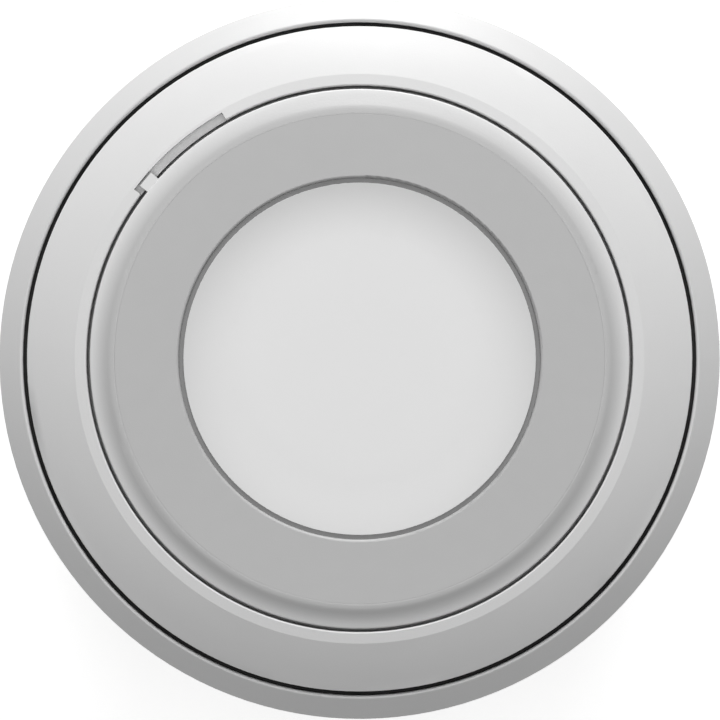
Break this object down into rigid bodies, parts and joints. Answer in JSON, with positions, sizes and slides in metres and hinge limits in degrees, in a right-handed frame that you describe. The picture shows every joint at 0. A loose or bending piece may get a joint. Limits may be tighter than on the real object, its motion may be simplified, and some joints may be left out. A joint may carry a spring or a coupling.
{
  "type": "heat detector",
  "caption": "Flush ceiling heat detector with a removable round head, bayonet base, trim ring and back box with swing-out clamps.",
  "frame": {"origin": "centre of the rear face of the back box, on the detector axis", "axes": "+Z out of the detector face, away from the ceiling void; +Y towards the top of the face as seen from the room with the tab window in the upper left quarter"},
  "size_m": [0.15, 0.15, 0.0694],
  "materials": {
    "white_plastic": "fine matte moulded",
    "grey_plastic": "fine matte moulded",
    "smoked_plastic": "smoked translucent",
    "painted_disc": "satin white lacquer",
    "box_plastic": "matte moulded",
    "rubber": "matte",
    "seal_foam": "matte cellular",
    "zinc_steel": "zinc plated",
    "brass": "satin",
    "spring_metal": "tinned",
    "terminal_plastic": "moulded",
    "dog_plastic": "glass filled nylon",
    "board": "solder mask",
    "black_component": "moulded",
    "aluminium_can": "satin",
    "clear_plastic": "clear moulded",
    "led_epoxy": "diffused",
    "thermal_pad": "soft",
    "bead": "epoxy coated",
    "dial_plastic": "moulded"
  },
  "bodies": {
    "base": {"back_box": "box_plastic", "cable_grommet": "rubber", "mounting_base": "white_plastic", "ceiling_gasket": "rubber", "base_screws": "zinc_steel", "clamp_screws": "zinc_steel", "terminal_blocks": "terminal_plastic", "terminal_cages": "brass", "terminal_screws": "zinc_steel", "contact_springs": "spring_metal"},
    "trim": {"trim_ring": "white_plastic"},
    "seal": {"head_seal": "seal_foam"},
    "head": {"head_shell": "white_plastic", "face_ring": "grey_plastic", "indicator_ring": "smoked_plastic", "heat_collector": "painted_disc", "head_back": "box_plastic", "head_screws": "zinc_steel", "contact_blades": "spring_metal", "circuit_board": "board", "board_screws": "zinc_steel", "thermal_pad": "thermal_pad", "thermistor": "bead", "sensor_carrier": "black_component", "reference_thermistor": "bead", "indicator_led": "led_epoxy", "light_guide": "clear_plastic", "microcontroller": "black_component", "capacitors": "aluminium_can", "dial_bodies": "black_component"},
    "nut_1": {"clamp_nut_1": "brass"},
    "dog_1": {"clamp_dog_1": "dog_plastic"},
    "nut_2": {"clamp_nut_2": "brass"},
    "dog_2": {"clamp_dog_2": "dog_plastic"},
    "nut_3": {"clamp_nut_3": "brass"},
    "dog_3": {"clamp_dog_3": "dog_plastic"},
    "dial_1": {"address_dial_1": "dial_plastic"},
    "dial_2": {"address_dial_2": "dial_plastic"},
    "dial_3": {"address_dial_3": "dial_plastic"}
  },
  "joints": [
    {"name": "trim_pull", "type": "slide", "parent": "base", "child": "trim", "axis": [0, 0, 1], "range_m": [0, 0.02]},
    {"name": "head_lift", "type": "slide", "parent": "base", "child": "seal", "axis": [0, 0, 1], "range_m": [0, 0.04]},
    {"name": "head_twist", "type": "hinge", "parent": "seal", "child": "head", "pos_m": [0, 0, 0.06], "axis": [0, 0, 1], "range_deg": [-18, 0]},
    {"name": "clamp_climb_1", "type": "slide", "parent": "base", "child": "nut_1", "axis": [0, 0, 1], "range_m": [0, 0.022]},
    {"name": "dog_swing_1", "type": "hinge", "parent": "nut_1", "child": "dog_1", "pos_m": [0, 0.0525, 0.025], "axis": [0, 0, 1], "range_deg": [-92, 0]},
    {"name": "clamp_climb_2", "type": "slide", "parent": "base", "child": "nut_2", "axis": [0, 0, 1], "range_m": [0, 0.022]},
    {"name": "dog_swing_2", "type": "hinge", "parent": "nut_2", "child": "dog_2", "pos_m": [-0.04547, -0.02625, 0.025], "axis": [0, 0, 1], "range_deg": [-92, 0]},
    {"name": "clamp_climb_3", "type": "slide", "parent": "base", "child": "nut_3", "axis": [0, 0, 1], "range_m": [0, 0.022]},
    {"name": "dog_swing_3", "type": "hinge", "parent": "nut_3", "child": "dog_3", "pos_m": [0.04547, -0.02625, 0.025], "axis": [0, 0, 1], "range_deg": [-92, 0]},
    {"name": "address_turn_1", "type": "hinge", "parent": "head", "child": "dial_1", "pos_m": [-0.012, 0, 0.04], "axis": [0, 0, 1], "continuous": true},
    {"name": "address_turn_2", "type": "hinge", "parent": "head", "child": "dial_2", "pos_m": [0, 0, 0.04], "axis": [0, 0, 1], "continuous": true},
    {"name": "address_turn_3", "type": "hinge", "parent": "head", "child": "dial_3", "pos_m": [0.012, 0, 0.04], "axis": [0, 0, 1], "continuous": true}
  ]
}
